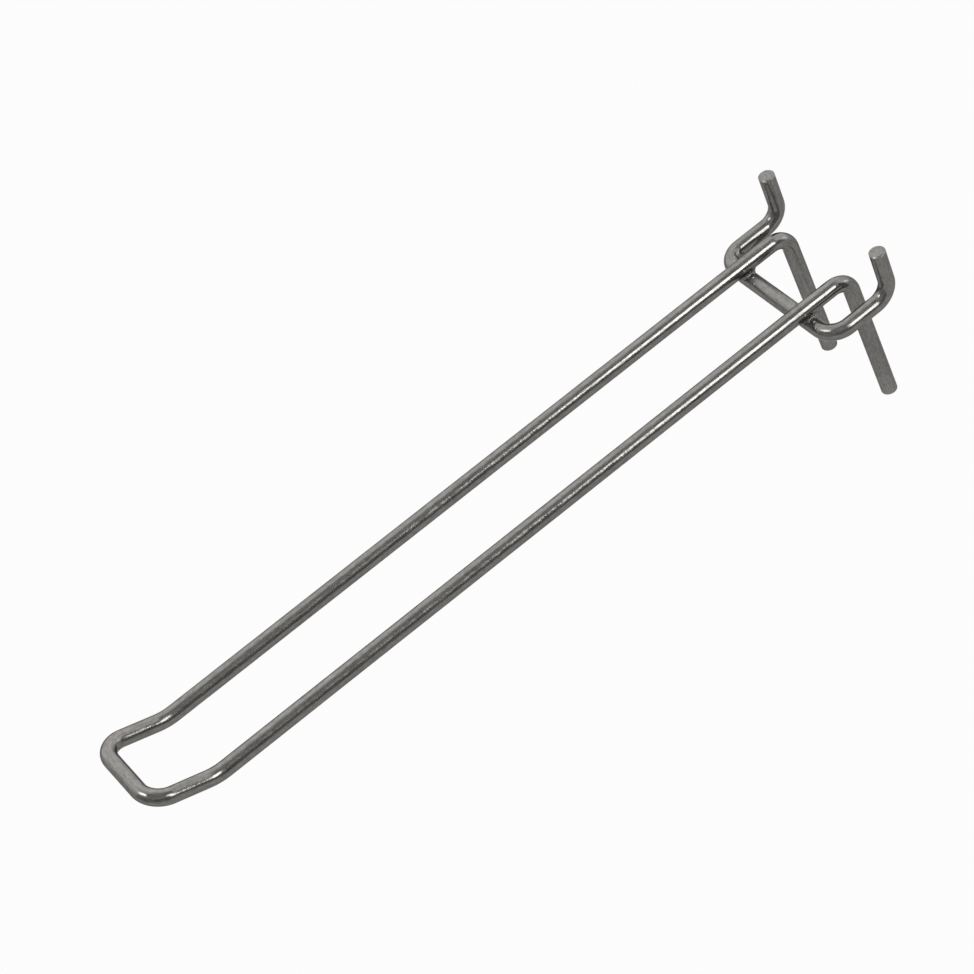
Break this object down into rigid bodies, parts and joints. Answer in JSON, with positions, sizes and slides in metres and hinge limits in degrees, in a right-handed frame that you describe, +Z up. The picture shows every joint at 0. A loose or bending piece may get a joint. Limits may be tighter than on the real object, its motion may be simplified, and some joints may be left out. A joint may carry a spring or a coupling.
{
  "type": "double pegboard hook",
  "caption": "Double-arm wire hook for a perforated panel, with a raised closed nose, legs that rest on the panel and upturned pegs that hook behind it.",
  "frame": {"origin": "on the panel's front face, midway between the two peg holes, at the height of their centres", "axes": "+Z up, +Y into the panel, +X along the panel to the right of a viewer who faces it; the arms reach forward along -Y and rise 1.5 degrees"},
  "size_m": [0.055, 0.2558, 0.0662],
  "materials": {
    "plated_wire": "bright zinc or nickel plated drawn steel wire, faint draw lines and small pits",
    "weld_metal": "plated resistance weld metal, slightly lumpy and darker than the wire"
  },
  "bodies": {
    "root": {"prong_wire": "plated_wire", "peg_wire": "plated_wire", "left_weld": "weld_metal", "right_weld": "weld_metal"}
  },
  "joints": []
}
